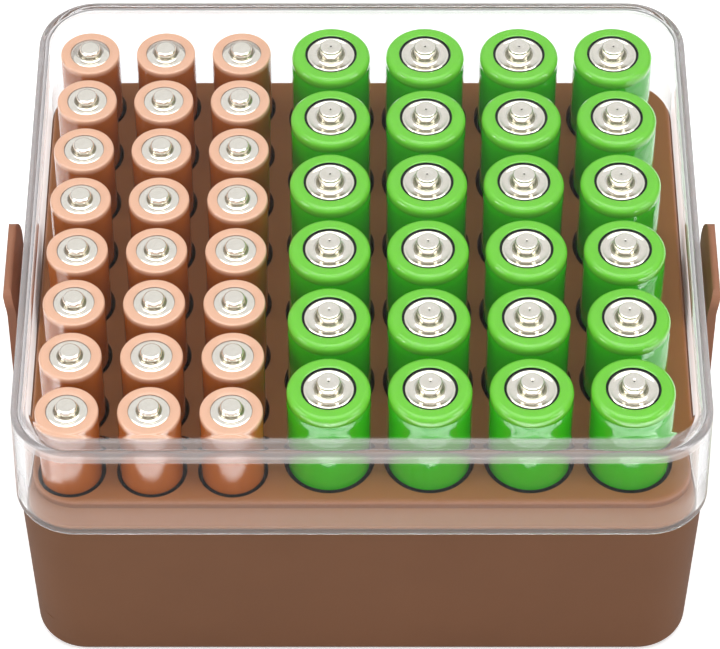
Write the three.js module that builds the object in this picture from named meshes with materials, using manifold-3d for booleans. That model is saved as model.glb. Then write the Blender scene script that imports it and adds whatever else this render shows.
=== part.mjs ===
// A storage case for small round cells: a tapered tub, a perforated tray that holds two sizes of cell
// upright, a clear lift-off lid, and a latch that swings out on each side. All lengths are in
// millimetres, +Z is up, +X is to the right of someone facing the front, and the origin is under the
// middle of the case on the surface that it stands on.
import * as THREE from 'three';
import { mergeVertices } from 'three/addons/utils/BufferGeometryUtils.js';
import Module from 'manifold-3d';

const wasm = await Module();
wasm.setup();

// Large cells, in the block on the right
const largeDiameter = 14.0;
const largeLength = 50.5;
const largeColumns = 4;
const largeRows = 6;
const largeShoulder = 0.75;
const largeNubDiameter = 5.2;
const largeNubHeight = 1.85;

// Small cells, in the block on the left
const smallDiameter = 10.5;
const smallLength = 44.5;
const smallColumns = 3;
const smallRows = 8;
const smallShoulder = 0.3;
const smallNubDiameter = 3.8;
const smallNubHeight = 1.3;

// Tray: the holes are the cells plus a clearance, and the webs between them set the pitch
const largeHoleClearance = 0.45;
const smallHoleClearance = 0.4;
const largeColumnWeb = 1.8;
const largeRowWeb = 0.75;
const smallColumnWeb = 2.23;
const smallRowWeb = 0.65;
const blockWeb = 2.9;
const leftMargin = 1.52;
const rightMargin = 3.62;
const endMargin = 1.225;
const frontShelf = 4.0;
const deckThickness = 1.6;
const deckRise = 1.6;
const deckCorner = 8.5;
const deckFillet = 0.8;
const flangeThickness = 0.8;
const collarWall = 1.2;
const rowRibThickness = 0.6;
const columnRibThickness = 1.2;
const ribFloorGap = 7.7;
const ribEndClearance = 0.35;

// Lid
const lidClearance = 0.4;
const lidWall = 1.6;
const lidTop = 1.5;
const lidDraft = 0.35;
const lidFillet = 2.65;
const lidInnerFillet = 1.2;
const nubClearance = 0.7;
const catchRibDepth = 0.8;
const catchRibHeight = 1.6;
const catchRibLength = 15;
const catchRibLift = 0.5;
const catchRibSlopeShare = 1 / 3;

// Tub
const shoulderHeight = 34.2;
const lidOverhang = 0.7;
const tubDraft = 1.2;
const tubWall = 1.6;
const tubRim = 2.4;
const tubRimDepth = 3.2;
const tubFillet = 2.0;
const tubInnerFillet = 1.5;
const tubInnerCorner = 6.0;
const tubFloor = 2.3;
const footHeight = 2.0;
const footWidth = 3.0;
const smallCellStep = 3.0;
const seatGap = 0.2;

// Latches and the hinge bars that they swing on
const latchWidth = 19;
const latchAxisHeight = 25;
const latchStem = 1.8;
const latchThickness = 1.5;
const latchCorner = 3.0;
const latchFootCorner = 0.6;
const latchFlare = 0.6;
const latchFlareHeight = 5.0;
const latchBead = 0.5;
const latchBeadHeight = 1.6;
const latchBeadGap = 0.3;
const knuckleRadius = 1.9;
const knuckleClearance = 0.4;
const barRadius = 0.95;
const barClearance = 0.25;
const snapSlot = 1.5;
const snapSlotTiltDegrees = 35;
const lugThickness = 2.4;
const lugClearance = 0.4;
const lugRoot = 3.2;

// Overrun of every cutting tool past the face that it cuts
const overrun = 1.0;

// Fineness of round forms
const cornerSteps = 8;
const filletSteps = 4;
const largeCellSides = 14;
const smallCellSides = 12;
const largeHoleSides = 18;
const smallHoleSides = 14;
const hingeSides = 16;

const quarterTurn = Math.PI / 2;
const degree = Math.PI / 180;

// Plan of the tray, worked out from the cells outwards
const largeHole = largeDiameter + 2 * largeHoleClearance;
const smallHole = smallDiameter + 2 * smallHoleClearance;
const largePitchX = largeHole + largeColumnWeb;
const largePitchY = largeHole + largeRowWeb;
const smallPitchX = smallHole + smallColumnWeb;
const smallPitchY = smallHole + smallRowWeb;
const largeBlockWidth = (largeColumns - 1) * largePitchX + largeHole;
const largeBlockDepth = (largeRows - 1) * largePitchY + largeHole;
const smallBlockWidth = (smallColumns - 1) * smallPitchX + smallHole;
const smallBlockDepth = (smallRows - 1) * smallPitchY + smallHole;
const deckWidth = leftMargin + smallBlockWidth + blockWeb + largeBlockWidth + rightMargin;
const deckDepth = Math.max(largeBlockDepth, smallBlockDepth) + 2 * endMargin;
const flangeHalfX = deckWidth / 2;
const flangeHalfY = (deckDepth + frontShelf) / 2;
const deckBackY = flangeHalfY;
const deckFrontY = deckBackY - deckDepth;
const deckCentreY = (deckBackY + deckFrontY) / 2;
const smallBlockLeft = leftMargin - flangeHalfX;
const smallBlockCentreX = smallBlockLeft + smallBlockWidth / 2;
const dividerX = smallBlockLeft + smallBlockWidth + blockWeb / 2;
const largeBlockCentreX = dividerX + blockWeb / 2 + largeBlockWidth / 2;

// Heights, from the feet up
const largeFloorZ = footHeight + tubFloor;
const smallFloorZ = largeFloorZ + smallCellStep;
const ribBottomZ = largeFloorZ + ribFloorGap;
const flangeBottomZ = shoulderHeight + seatGap;
const flangeTopZ = flangeBottomZ + flangeThickness;
const deckTopZ = flangeTopZ + deckRise;
const lidRimZ = shoulderHeight + seatGap;
const lidInnerTopZ = Math.max(largeFloorZ + largeLength, smallFloorZ + smallLength) + nubClearance;
const lidTopZ = lidInnerTopZ + lidTop;
const catchRibBottomZ = lidRimZ + catchRibLift;
const catchRibTopZ = catchRibBottomZ + catchRibHeight;
const beadBottomZ = catchRibTopZ + latchBeadGap;
const beadTopZ = beadBottomZ + latchBeadHeight;
const latchFlareZ = beadTopZ + latchStem;
const latchTopZ = latchFlareZ + latchFlareHeight;

// Plan of the lid and the tub, worked out from the tray outwards
const lidRimHalfX = flangeHalfX + lidClearance + lidWall;
const lidRimHalfY = flangeHalfY + lidClearance + lidWall;
const lidCorner = deckCorner + lidClearance + lidWall;
const tubHalfX = lidRimHalfX - lidOverhang;
const tubHalfY = lidRimHalfY - lidOverhang;
const tubCorner = lidCorner - lidOverhang;

// The tub's side leans in evenly from its shoulder to the surface that it stands on.
const tubInset = (z) => tubDraft * (1 - z / shoulderHeight);

function toSolid(geometry) {
  const bare = geometry.clone();
  bare.deleteAttribute('normal');
  bare.deleteAttribute('uv');
  const merged = mergeVertices(bare);
  const vertProperties = new Float32Array(merged.attributes.position.array);
  const triVerts = new Uint32Array(merged.index.array);
  return new wasm.Manifold(new wasm.Mesh({ numProp: 3, vertProperties, triVerts }));
}

function toGeometry(solid) {
  const mesh = solid.getMesh();
  const geometry = new THREE.BufferGeometry();
  geometry.setAttribute('position', new THREE.BufferAttribute(new Float32Array(mesh.vertProperties), 3));
  geometry.setIndex(new THREE.BufferAttribute(new Uint32Array(mesh.triVerts), 1));
  geometry.computeVertexNormals();
  return geometry;
}

// A rectangle with round corners, as a ring of points that runs anticlockwise seen from above
function roundedRing({ halfX, frontY, backY, corner }) {
  const centres = [
    [halfX - corner, backY - corner],
    [corner - halfX, backY - corner],
    [corner - halfX, frontY + corner],
    [halfX - corner, frontY + corner],
  ];
  const ring = [];
  centres.forEach(([x, y], turn) => {
    for (let step = 0; step <= cornerSteps; step += 1) {
      const angle = (turn + step / cornerSteps) * quarterTurn;
      ring.push(new THREE.Vector2(x + corner * Math.cos(angle), y + corner * Math.sin(angle)));
    }
  });
  return ring;
}

// A solid through a stack of rounded rectangles, each a level with its own size and height
function stack(levels) {
  const rings = levels.map(roundedRing);
  const count = rings[0].length;
  const points = levels.flatMap((level, row) => rings[row].flatMap((p) => [p.x, p.y, level.z]));
  const faces = [];
  for (let row = 0; row + 1 < rings.length; row += 1) {
    for (let i = 0; i < count; i += 1) {
      const low = row * count + i;
      const lowNext = row * count + ((i + 1) % count);
      faces.push(low, lowNext, lowNext + count, low, lowNext + count, low + count);
    }
  }
  const top = (rings.length - 1) * count;
  for (const [a, b, c] of THREE.ShapeUtils.triangulateShape(rings[0], [])) {
    faces.push(a, c, b);
  }
  for (const [a, b, c] of THREE.ShapeUtils.triangulateShape(rings[rings.length - 1], [])) {
    faces.push(top + a, top + b, top + c);
  }
  const geometry = new THREE.BufferGeometry();
  geometry.setAttribute('position', new THREE.Float32BufferAttribute(points, 3));
  geometry.setIndex(faces);
  return toSolid(geometry);
}

// One level of a stack, drawn in by an inset on every side
function level(z, halfX, frontY, backY, corner, inset = 0) {
  return {
    z,
    halfX: halfX - inset,
    frontY: frontY + inset,
    backY: backY - inset,
    corner: corner - inset,
  };
}

// The levels of a quarter-round edge that draws in as it rises
function roundedEdge(topZ, radius, halfX, frontY, backY, corner) {
  const levels = [];
  for (let step = 0; step <= filletSteps; step += 1) {
    const angle = (step / filletSteps) * quarterTurn;
    const inset = radius * (1 - Math.cos(angle));
    levels.push(level(topZ - radius + radius * Math.sin(angle), halfX, frontY, backY, corner, inset));
  }
  return levels;
}

function box(x0, x1, y0, y1, z0, z1) {
  const geometry = new THREE.BoxGeometry(x1 - x0, y1 - y0, z1 - z0);
  return toSolid(geometry.translate((x0 + x1) / 2, (y0 + y1) / 2, (z0 + z1) / 2));
}

// An upright cylinder, and one that lies along Y
function post(x, y, z0, z1, radius, sides) {
  const geometry = new THREE.CylinderGeometry(radius, radius, z1 - z0, sides);
  return toSolid(geometry.rotateX(quarterTurn).translate(x, y, (z0 + z1) / 2));
}

function bar(x, z, y0, y1, radius, sides) {
  const geometry = new THREE.CylinderGeometry(radius, radius, y1 - y0, sides);
  return toSolid(geometry.translate(x, (y0 + y1) / 2, z));
}

// A profile drawn in X and Z, extruded along Y from y0 to y1
function profileAlongY(shape, y0, y1) {
  const geometry = new THREE.ExtrudeGeometry(shape, {
    depth: y1 - y0,
    bevelEnabled: false,
    curveSegments: hingeSides / 2,
  });
  return toSolid(geometry.rotateX(quarterTurn).translate(0, y1, 0));
}

// An outline drawn in Y and Z, extruded along X from x0 to x1
function outlineAlongX(shape, x0, x1) {
  const geometry = new THREE.ExtrudeGeometry(shape, {
    depth: x1 - x0,
    bevelEnabled: false,
    curveSegments: hingeSides / 2,
  });
  return toSolid(geometry.rotateX(quarterTurn).rotateZ(quarterTurn).translate(x0, 0, 0));
}

const mirrorX = (solid) => solid.mirror([1, 0, 0]);

// Where the cells stand: one place for each row and column of a block, row 1 at the back
function blockPlaces(columns, rows, pitchX, pitchY, centreX) {
  const places = [];
  for (let row = 0; row < rows; row += 1) {
    for (let column = 0; column < columns; column += 1) {
      places.push({
        name: `r${row + 1}_c${column + 1}`,
        x: centreX + (column - (columns - 1) / 2) * pitchX,
        y: deckCentreY + ((rows - 1) / 2 - row) * pitchY,
      });
    }
  }
  return places;
}

const largePlaces = blockPlaces(largeColumns, largeRows, largePitchX, largePitchY, largeBlockCentreX);
const smallPlaces = blockPlaces(smallColumns, smallRows, smallPitchX, smallPitchY, smallBlockCentreX);

// A cell, turned about its own axis: a plain can, a rounded shoulder, a flat end and the raised nub
function cellGeometry(diameter, length, shoulder, nubDiameter, nubHeight, sides) {
  const radius = diameter / 2;
  const endZ = length - nubHeight;
  const profile = [
    new THREE.Vector2(0, 0),
    new THREE.Vector2(radius, 0),
    new THREE.Vector2(radius, endZ - shoulder),
    new THREE.Vector2(radius - shoulder, endZ),
    new THREE.Vector2(nubDiameter / 2, endZ),
    new THREE.Vector2(nubDiameter / 2, length),
    new THREE.Vector2(0, length),
  ];
  return toGeometry(toSolid(new THREE.LatheGeometry(profile, sides).rotateX(quarterTurn)));
}

// The tub: a shell that tapers to its feet, with a thicker rim to carry the tray and the lid, a step
// under the small cells, a foot rim round a recess below, and the lugs and bars of the latches
function makeTub() {
  const atHeight = (z, inset = 0) => level(z, tubHalfX, -tubHalfY, tubHalfY, tubCorner, tubInset(z) + inset);
  const outerLevels = [];
  for (let step = 0; step <= filletSteps; step += 1) {
    const angle = (step / filletSteps) * quarterTurn;
    outerLevels.push(atHeight(tubFillet * (1 - Math.cos(angle)), tubFillet * (1 - Math.sin(angle))));
  }
  outerLevels.push(atHeight(shoulderHeight));

  const innerLevel = (z, wall) => ({ ...atHeight(z, wall), corner: tubInnerCorner });
  const rimBottomZ = shoulderHeight - tubRimDepth;
  const rimThickening = tubRim - tubWall;
  const cavity = stack([
    { ...innerLevel(largeFloorZ, tubWall + tubInnerFillet), corner: tubInnerCorner - tubInnerFillet },
    innerLevel(largeFloorZ + tubInnerFillet, tubWall),
    innerLevel(rimBottomZ - rimThickening, tubWall),
    innerLevel(rimBottomZ, tubRim),
    innerLevel(shoulderHeight + overrun, tubRim),
  ]);
  let tub = stack(outerLevels).subtract(cavity);

  const stepCore = stack([
    innerLevel(largeFloorZ - tubFloor / 2, tubWall / 2),
    innerLevel(smallFloorZ, tubWall / 2),
  ]);
  const leftOfDivider = box(-tubHalfX, dividerX, -tubHalfY, tubHalfY, footHeight, smallFloorZ + overrun);
  tub = tub.add(stepCore.intersect(leftOfDivider));

  const recessInset = tubFillet + footWidth;
  const recess = stack([atHeight(-overrun, recessInset), atHeight(footHeight, recessInset)]);
  const stepRecess = stack([
    atHeight(-overrun, recessInset),
    atHeight(footHeight + smallCellStep, recessInset),
  ]);
  const underStep = box(-tubHalfX, dividerX - tubFloor, -tubHalfY, tubHalfY, -2 * overrun, smallFloorZ);
  tub = tub.subtract(recess).subtract(stepRecess.intersect(underStep));

  const hinge = makeHingeLugs();
  return tub.add(hinge).add(mirrorX(hinge));
}

// The latch's axis stands off the tub's side by the knuckle and a clearance.
const tubSideX = tubHalfX - tubInset(latchAxisHeight);
const latchAxisX = tubSideX + knuckleClearance + knuckleRadius;

// Two lugs and the bar between them, on the right side of the tub
function makeHingeLugs() {
  const rootX = tubSideX - tubWall / 2;
  const lug = new THREE.Shape();
  lug.moveTo(rootX, latchAxisHeight - lugRoot);
  lug.lineTo(latchAxisX, latchAxisHeight - knuckleRadius);
  lug.absarc(latchAxisX, latchAxisHeight, knuckleRadius, -quarterTurn, quarterTurn, false);
  lug.lineTo(rootX, latchAxisHeight + lugRoot);
  lug.closePath();
  const innerY = latchWidth / 2 + lugClearance;
  const outerY = innerY + lugThickness;
  const middleY = (innerY + outerY) / 2;
  return profileAlongY(lug, innerY, outerY)
    .add(profileAlongY(lug, -outerY, -innerY))
    .add(bar(latchAxisX, latchAxisHeight, -middleY, middleY, barRadius, hingeSides));
}

// The tray: a raised deck on a flange, pierced for every cell, with ribs below that cross between
// the rows and columns and whose ends locate it in the tub
function makeTray() {
  const flange = stack([
    level(flangeBottomZ, flangeHalfX, -flangeHalfY, flangeHalfY, deckCorner),
    level(flangeTopZ, flangeHalfX, -flangeHalfY, flangeHalfY, deckCorner),
  ]);
  const deck = stack([
    level(flangeBottomZ, flangeHalfX, deckFrontY, deckBackY, deckCorner),
    ...roundedEdge(deckTopZ, deckFillet, flangeHalfX, deckFrontY, deckBackY, deckCorner),
  ]);
  const underside = stack([
    level(flangeBottomZ - overrun, flangeHalfX, deckFrontY, deckBackY, deckCorner, collarWall),
    level(deckTopZ - deckThickness, flangeHalfX, deckFrontY, deckBackY, deckCorner, collarWall),
  ]);
  let tray = flange.add(deck).subtract(underside);
  const holeBottom = flangeBottomZ - overrun;
  const holeTop = deckTopZ + overrun;
  for (const { x, y } of largePlaces) {
    tray = tray.subtract(post(x, y, holeBottom, holeTop, largeHole / 2, largeHoleSides));
  }
  for (const { x, y } of smallPlaces) {
    tray = tray.subtract(post(x, y, holeBottom, holeTop, smallHole / 2, smallHoleSides));
  }
  return tray.add(makeTrayRibs());
}

function makeTrayRibs() {
  const ribTopZ = deckTopZ - deckThickness / 2;
  const halfRow = rowRibThickness / 2;
  const halfColumn = columnRibThickness / 2;
  const ribs = [];
  const rowRib = (y, x0, x1) => box(x0, x1, y - halfRow, y + halfRow, ribBottomZ, ribTopZ);
  const columnRib = (x) => box(x - halfColumn, x + halfColumn, -tubHalfY, tubHalfY, ribBottomZ, ribTopZ);
  for (let row = 1; row < largeRows; row += 1) {
    ribs.push(rowRib(deckCentreY + (largeRows / 2 - row) * largePitchY, dividerX, tubHalfX));
  }
  for (let row = 1; row < smallRows; row += 1) {
    ribs.push(rowRib(deckCentreY + (smallRows / 2 - row) * smallPitchY, -tubHalfX, dividerX));
  }
  for (let column = 1; column < largeColumns; column += 1) {
    ribs.push(columnRib(largeBlockCentreX + (column - largeColumns / 2) * largePitchX));
  }
  for (let column = 1; column < smallColumns; column += 1) {
    ribs.push(columnRib(smallBlockCentreX + (column - smallColumns / 2) * smallPitchX));
  }
  ribs.push(columnRib(dividerX));
  const grid = ribs.reduce((whole, rib) => whole.add(rib));
  return grid.intersect(makeRibEnvelope(ribTopZ));
}

// The space that the ribs may fill: the tub's inside less a clearance, then the tray's own outline
function makeRibEnvelope(topZ) {
  const inside = (z, wall) => ({
    ...level(z, tubHalfX, -tubHalfY, tubHalfY, tubCorner, tubInset(z) + wall + ribEndClearance),
    corner: tubInnerCorner,
  });
  const rimWallZ = shoulderHeight - tubRimDepth - (tubRim - tubWall);
  const below = stack([
    inside(ribBottomZ, tubWall),
    inside(rimWallZ - ribEndClearance, tubWall),
    inside(rimWallZ, tubRim),
    inside(flangeBottomZ + flangeThickness / 2, tubRim),
  ]);
  const above = stack([
    level(flangeBottomZ, flangeHalfX, deckFrontY, deckBackY, deckCorner, collarWall / 2),
    level(topZ, flangeHalfX, deckFrontY, deckBackY, deckCorner, collarWall / 2),
  ]);
  return below.add(above);
}

// The clear lid: a thin shell with a broad round edge at the top and a catch rib low on each side
function makeLid() {
  const topHalfX = lidRimHalfX - lidDraft;
  const topHalfY = lidRimHalfY - lidDraft;
  const outer = stack([
    level(lidRimZ, lidRimHalfX, -lidRimHalfY, lidRimHalfY, lidCorner),
    ...roundedEdge(lidTopZ, lidFillet, topHalfX, -topHalfY, topHalfY, lidCorner - lidDraft),
  ]);
  const innerLevel = (z, inset) => level(z, lidRimHalfX, -lidRimHalfY, lidRimHalfY, lidCorner, inset);
  const innerEdge = roundedEdge(
    lidInnerTopZ,
    lidInnerFillet,
    topHalfX - lidWall,
    lidWall - topHalfY,
    topHalfY - lidWall,
    lidCorner - lidDraft - lidWall,
  );
  const inner = stack([innerLevel(lidRimZ - overrun, lidWall), innerLevel(lidRimZ, lidWall), ...innerEdge]);
  const catchRib = makeCatchRib();
  return outer.add(catchRib).add(mirrorX(catchRib)).subtract(inner);
}

// The rib that the right latch's bead snaps over: its root is inside the lid's wall
function makeCatchRib() {
  const rootX = lidRimHalfX - lidWall / 2;
  const tipX = lidRimHalfX + catchRibDepth;
  const slope = catchRibSlopeShare * catchRibHeight;
  const rib = new THREE.Shape();
  rib.moveTo(rootX, catchRibBottomZ);
  rib.lineTo(lidRimHalfX, catchRibBottomZ);
  rib.lineTo(tipX, catchRibBottomZ + slope);
  rib.lineTo(tipX, catchRibTopZ - slope);
  rib.lineTo(lidRimHalfX, catchRibTopZ);
  rib.lineTo(rootX, catchRibTopZ);
  rib.closePath();
  return profileAlongY(rib, -catchRibLength / 2, catchRibLength / 2);
}

// The right latch: a knuckle that snaps on the tub's bar, a springy arm up the side of the lid, a
// bead that catches above the lid's rib, and a flared finger edge
function makeLatch() {
  const beadTipX = lidRimHalfX + catchRibDepth + latchBeadGap;
  const innerX = beadTipX + latchBead;
  const outerX = innerX + latchThickness;
  const tipRadius = latchThickness / 2;
  const tipX = innerX + latchFlare + tipRadius;
  const tipZ = latchTopZ - tipRadius;
  const bendZ = (latchFlareZ + tipZ) / 2;
  const arm = new THREE.Shape();
  arm.moveTo(innerX, latchAxisHeight);
  arm.lineTo(outerX, latchAxisHeight);
  arm.lineTo(outerX, latchFlareZ);
  arm.quadraticCurveTo(outerX, bendZ, tipX + tipRadius, tipZ);
  arm.absarc(tipX, tipZ, tipRadius, 0, Math.PI, false);
  arm.quadraticCurveTo(innerX, bendZ, innerX, latchFlareZ);
  arm.lineTo(innerX, beadTopZ);
  arm.lineTo(beadTipX, beadTopZ - latchBead);
  arm.lineTo(beadTipX, beadBottomZ + latchBead);
  arm.lineTo(innerX, beadBottomZ);
  arm.closePath();

  const halfWidth = latchWidth / 2;
  const knuckle = bar(latchAxisX, latchAxisHeight, -halfWidth, halfWidth, knuckleRadius, hingeSides);
  const boreRadius = barRadius + barClearance;
  const boreY = halfWidth + overrun;
  const bore = bar(latchAxisX, latchAxisHeight, -boreY, boreY, boreRadius, hingeSides);
  const slotLength = knuckleRadius + overrun;
  const slot = new THREE.BoxGeometry(slotLength, 2 * boreY, snapSlot);
  slot.translate(-slotLength / 2, 0, 0);
  slot.rotateY(-snapSlotTiltDegrees * degree);
  slot.translate(latchAxisX, 0, latchAxisHeight);

  const bottomZ = latchAxisHeight - knuckleRadius;
  const plate = new THREE.Shape();
  plate.moveTo(latchFootCorner - halfWidth, bottomZ);
  plate.lineTo(halfWidth - latchFootCorner, bottomZ);
  plate.quadraticCurveTo(halfWidth, bottomZ, halfWidth, bottomZ + latchFootCorner);
  plate.lineTo(halfWidth, latchTopZ - latchCorner);
  plate.absarc(halfWidth - latchCorner, latchTopZ - latchCorner, latchCorner, 0, quarterTurn, false);
  plate.lineTo(latchCorner - halfWidth, latchTopZ);
  plate.absarc(
    latchCorner - halfWidth,
    latchTopZ - latchCorner,
    latchCorner,
    quarterTurn,
    2 * quarterTurn,
    false,
  );
  plate.lineTo(-halfWidth, bottomZ + latchFootCorner);
  plate.quadraticCurveTo(-halfWidth, bottomZ, latchFootCorner - halfWidth, bottomZ);

  return profileAlongY(arm, -halfWidth, halfWidth)
    .add(knuckle)
    .subtract(bore)
    .subtract(toSolid(slot))
    .intersect(outlineAlongX(plate, tubSideX, outerX + latchFlare + overrun));
}

const colours = {
  tub: new THREE.MeshStandardMaterial({ color: 0x73503c, roughness: 0.5, metalness: 0 }),
  tray: new THREE.MeshStandardMaterial({ color: 0x825c48, roughness: 0.55, metalness: 0 }),
  latch: new THREE.MeshStandardMaterial({ color: 0x845a46, roughness: 0.5, metalness: 0 }),
  lid: new THREE.MeshStandardMaterial({
    color: 0xeef1f2,
    roughness: 0.08,
    metalness: 0,
    transparent: true,
    opacity: 0.3,
  }),
  largeCell: new THREE.MeshStandardMaterial({ color: 0x47b02b, roughness: 0.3, metalness: 0 }),
  smallCell: new THREE.MeshStandardMaterial({ color: 0xd9946e, roughness: 0.35, metalness: 0.3 }),
};

const assembly = new THREE.Group();

function place(name, geometry, material, x = 0, y = 0, z = 0) {
  const mesh = new THREE.Mesh(geometry, material.clone());
  mesh.name = name;
  mesh.position.set(x, y, z);
  assembly.add(mesh);
}

const latch = makeLatch();
place('base_tub', toGeometry(makeTub()), colours.tub);
place('cell_tray', toGeometry(makeTray()), colours.tray);
place('lid', toGeometry(makeLid()), colours.lid);
place('latch_right', toGeometry(latch), colours.latch);
place('latch_left', toGeometry(mirrorX(latch)), colours.latch);

const largeCell = cellGeometry(
  largeDiameter,
  largeLength,
  largeShoulder,
  largeNubDiameter,
  largeNubHeight,
  largeCellSides,
);
for (const { name, x, y } of largePlaces) {
  place(`large_cell_${name}`, largeCell, colours.largeCell, x, y, largeFloorZ + seatGap);
}

const smallCell = cellGeometry(
  smallDiameter,
  smallLength,
  smallShoulder,
  smallNubDiameter,
  smallNubHeight,
  smallCellSides,
);
for (const { name, x, y } of smallPlaces) {
  place(`small_cell_${name}`, smallCell, colours.smallCell, x, y, smallFloorZ + seatGap);
}

export default assembly;
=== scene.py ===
import math

import bmesh
import bpy
from mathutils import Matrix, Vector


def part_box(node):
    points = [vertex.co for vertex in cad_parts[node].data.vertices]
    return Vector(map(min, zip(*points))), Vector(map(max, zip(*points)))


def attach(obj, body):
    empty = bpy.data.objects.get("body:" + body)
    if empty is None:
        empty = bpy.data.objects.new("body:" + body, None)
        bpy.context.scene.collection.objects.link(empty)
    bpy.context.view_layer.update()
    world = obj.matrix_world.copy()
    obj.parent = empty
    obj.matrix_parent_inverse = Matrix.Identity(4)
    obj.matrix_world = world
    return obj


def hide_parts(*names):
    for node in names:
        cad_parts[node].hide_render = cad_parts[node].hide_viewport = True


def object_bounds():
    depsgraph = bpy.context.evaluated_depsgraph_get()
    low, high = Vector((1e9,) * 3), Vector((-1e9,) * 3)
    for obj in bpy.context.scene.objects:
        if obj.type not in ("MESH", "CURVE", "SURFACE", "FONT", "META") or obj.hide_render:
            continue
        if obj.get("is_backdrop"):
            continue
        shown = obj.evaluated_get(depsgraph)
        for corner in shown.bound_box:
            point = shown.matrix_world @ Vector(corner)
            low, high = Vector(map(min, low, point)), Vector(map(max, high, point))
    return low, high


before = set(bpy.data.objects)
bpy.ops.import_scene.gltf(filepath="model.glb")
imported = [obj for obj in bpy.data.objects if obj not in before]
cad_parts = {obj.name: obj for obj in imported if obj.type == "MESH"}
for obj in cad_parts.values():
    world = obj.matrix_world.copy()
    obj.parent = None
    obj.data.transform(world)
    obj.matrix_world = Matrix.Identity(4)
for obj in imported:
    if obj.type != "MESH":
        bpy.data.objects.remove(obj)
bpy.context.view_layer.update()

# The view: a long lens high in front of the case, level from left to right. Its place and lens were
# worked out from the grid of the cells' tops in the photograph.
MM = 0.001
scene = bpy.context.scene
camera_place = Vector((-0.000315, -0.4442, 0.5291))
camera_target = Vector((-0.000315, -0.02245, 0.05298))
camera_lens_mm = 190.57
camera_film_mm = 36.0
camera_near = 10 * MM
camera = bpy.data.objects.new("camera", bpy.data.cameras.new("camera"))
camera.data.lens = camera_lens_mm
camera.data.sensor_width = camera_film_mm
camera.data.sensor_fit = "HORIZONTAL"
camera.data.clip_start = camera_near
camera.location = camera_place
camera.rotation_euler = (camera_target - camera_place).to_track_quat("-Z", "Y").to_euler()
scene.collection.objects.link(camera)
scene.camera = camera

# The tub: one injection moulding in brown ABS, drawn in towards its feet so that it leaves the
# mould, with a thicker rim that carries the tray and the lid. Its outside has a fine satin grain.
shoulder_z = 34.2 * MM
tub_half_x = 57.0 * MM
tub_half_y = 52.0 * MM
tub_corner = 9.8 * MM
tub_draft = 1.2 * MM
tub_wall = 1.6 * MM
tub_rim = 2.4 * MM
tub_rim_depth = 3.2 * MM
tub_foot_fillet = 2.0 * MM
tub_lip_fillet = 0.35 * MM
tub_inner_corner = 6.0 * MM
tub_inner_fillet = 1.5 * MM
tub_floor = 2.3 * MM
tub_floor_z = 4.3 * MM
foot_width = 3.0 * MM
foot_height = 2.0 * MM
foot_edge = 0.3 * MM
small_step = 3.0 * MM
divider_x = -14.37 * MM
tub_brown = (0.168, 0.074, 0.036)
plastic_shine = 0.12
corner_steps = 20
fillet_steps = 8
lip_steps = 4
weld_reach = 0.0001 * MM


def rounded_ring(half_x, front_y, back_y, corner, z):
    """A rectangle with round corners, as points that run anticlockwise seen from above."""
    centres = (
        (half_x - corner, back_y - corner),
        (corner - half_x, back_y - corner),
        (corner - half_x, front_y + corner),
        (half_x - corner, front_y + corner),
    )
    ring = []
    for turn, (x, y) in enumerate(centres):
        for step in range(corner_steps + 1):
            angle = (turn + step / corner_steps) * math.pi / 2
            ring.append(Vector((x + corner * math.cos(angle), y + corner * math.sin(angle), z)))
    return ring


def arc(start_degrees, end_degrees, steps=fillet_steps):
    """Pairs of cosine and sine along a stretch of circle."""
    for step in range(steps + 1):
        angle = math.radians(start_degrees + (end_degrees - start_degrees) * step / steps)
        yield math.cos(angle), math.sin(angle)


def loft(name, rings):
    """A closed mesh through a row of rings, with a flat face at each end."""
    mesh = bmesh.new()
    rows = [[mesh.verts.new(point) for point in ring] for ring in rings]
    for low, high in zip(rows, rows[1:]):
        for i in range(len(low)):
            j = (i + 1) % len(low)
            mesh.faces.new((low[i], low[j], high[j], high[i]))
    mesh.faces.new(rows[0][::-1])
    mesh.faces.new(rows[-1])
    bmesh.ops.remove_doubles(mesh, verts=mesh.verts, dist=weld_reach)
    bmesh.ops.recalc_face_normals(mesh, faces=mesh.faces)
    return as_object(name, mesh)


def as_object(name, mesh):
    """Turns a bmesh into an object in the scene."""
    data = bpy.data.meshes.new(name)
    mesh.to_mesh(data)
    mesh.free()
    made = bpy.data.objects.new(name, data)
    scene.collection.objects.link(made)
    return made


def apply_modifiers(piece):
    """Replaces a piece's mesh by what its modifiers make of it."""
    bpy.context.view_layer.update()
    graph = bpy.context.evaluated_depsgraph_get()
    made = bpy.data.meshes.new_from_object(piece.evaluated_get(graph), depsgraph=graph)
    made.name = piece.name
    piece.modifiers.clear()
    piece.data = made


def combine(piece, tool, operation):
    """Cuts a tool out of a piece, or joins it on, and removes the tool."""
    step = piece.modifiers.new("combine", "BOOLEAN")
    step.operation = operation
    step.solver = "EXACT"
    step.object = tool
    apply_modifiers(piece)
    bpy.data.objects.remove(tool)


def smooth(piece, sharp_degrees=35):
    """Shades a piece smooth, with edges sharper than an angle kept, and flat faces kept flat."""
    for face in piece.data.polygons:
        face.use_smooth = True
    piece.data.set_sharp_from_angle(angle=math.radians(sharp_degrees))
    weigh = piece.modifiers.new("weigh", "WEIGHTED_NORMAL")
    weigh.keep_sharp = True
    apply_modifiers(piece)


def box(name, low, high):
    """A box between two corners."""
    mesh = bmesh.new()
    bmesh.ops.create_cube(mesh, size=1.0)
    middle = (Vector(low) + Vector(high)) / 2
    size = Vector(high) - Vector(low)
    for vertex in mesh.verts:
        vertex.co = Vector(c * s for c, s in zip(vertex.co, size)) + middle
    return as_object(name, mesh)


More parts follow.
